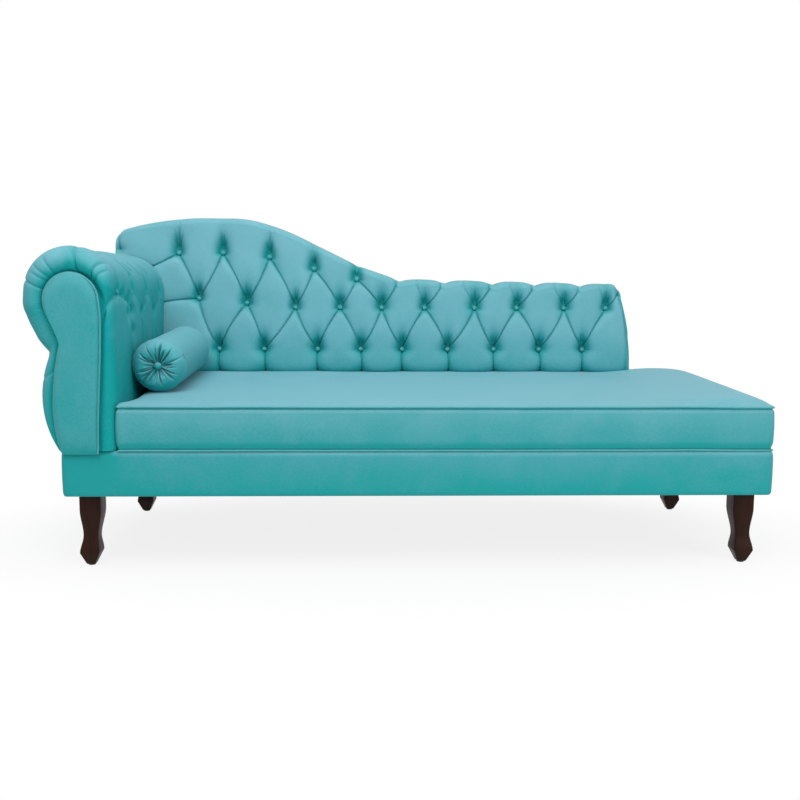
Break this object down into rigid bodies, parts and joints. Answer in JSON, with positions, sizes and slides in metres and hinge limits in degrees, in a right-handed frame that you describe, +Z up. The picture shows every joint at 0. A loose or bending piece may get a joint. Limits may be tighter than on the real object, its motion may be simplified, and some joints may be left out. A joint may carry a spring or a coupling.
{
  "type": "fainting couch",
  "caption": "One-arm fainting couch with a scroll arm, a deep-buttoned back that falls from high to low, a piped seat, wood legs and a loose bolster.",
  "frame": {"origin": "middle of the overall footprint, on the floor", "axes": "+X along the couch from its arm to its open end, +Y from the front to the back, +Z up"},
  "size_m": [1.849, 0.715, 0.908],
  "materials": {
    "turquoise_cloth": "matt velvet-like upholstery cloth with a soft sheen",
    "turquoise_piping": "self piping of the same cloth",
    "covered_button": "button covered in the same cloth",
    "dark_stained_wood": "very dark brown stain, satin",
    "pine": "planed, bare",
    "plywood": "sanded, bare",
    "foam": "open-cell foam",
    "webbing": "woven elastic webbing",
    "hessian": "coarse plain weave",
    "dust_cloth": "thin black non-woven cloth",
    "glide_plastic": "moulded, matt",
    "zinc_steel": "zinc plated"
  },
  "bodies": {
    "couch": {"base_front_rail": "pine", "base_rear_rail": "pine", "base_left_rail": "pine", "base_arm_rail": "pine", "base_right_rail": "pine", "base_cross_slats": "pine", "corner_blocks": "pine", "frame_screws": "zinc_steel", "webbing_cross": "webbing", "webbing_long": "webbing", "deck_cloth": "hessian", "dust_cover": "dust_cloth", "dust_cover_staples": "zinc_steel", "base_cover": "turquoise_cloth", "base_piping": "turquoise_piping", "leg_front_left": "dark_stained_wood", "leg_front_right": "dark_stained_wood", "leg_rear_left": "dark_stained_wood", "leg_rear_right": "dark_stained_wood", "leg_bolts": "zinc_steel", "leg_tee_nuts": "zinc_steel", "foot_glides": "glide_plastic", "seat_foam": "foam", "seat_cover": "turquoise_cloth", "seat_piping": "turquoise_piping", "arm_front_former": "plywood", "arm_rear_former": "plywood", "arm_slats": "pine", "arm_lining": "hessian", "arm_cover": "turquoise_cloth", "arm_rear_pad": "turquoise_cloth", "arm_buttons": "covered_button", "arm_facing_board": "plywood", "arm_facing_pad": "turquoise_cloth", "arm_facing_piping": "turquoise_piping", "back_sill": "pine", "back_sill_screws": "zinc_steel", "back_uprights": "pine", "back_top_rail": "pine", "back_board": "plywood", "back_foam": "foam", "back_cover": "turquoise_cloth", "back_buttons": "covered_button", "back_outside_cover": "turquoise_cloth"},
    "bolster": {"bolster_core": "foam", "bolster_cover": "turquoise_cloth", "bolster_buttons": "covered_button"}
  },
  "joints": [
    {"name": "bolster_lift", "type": "slide", "parent": "couch", "child": "bolster", "axis": [0, 0, 1], "range_m": [0, 0.5]}
  ]
}
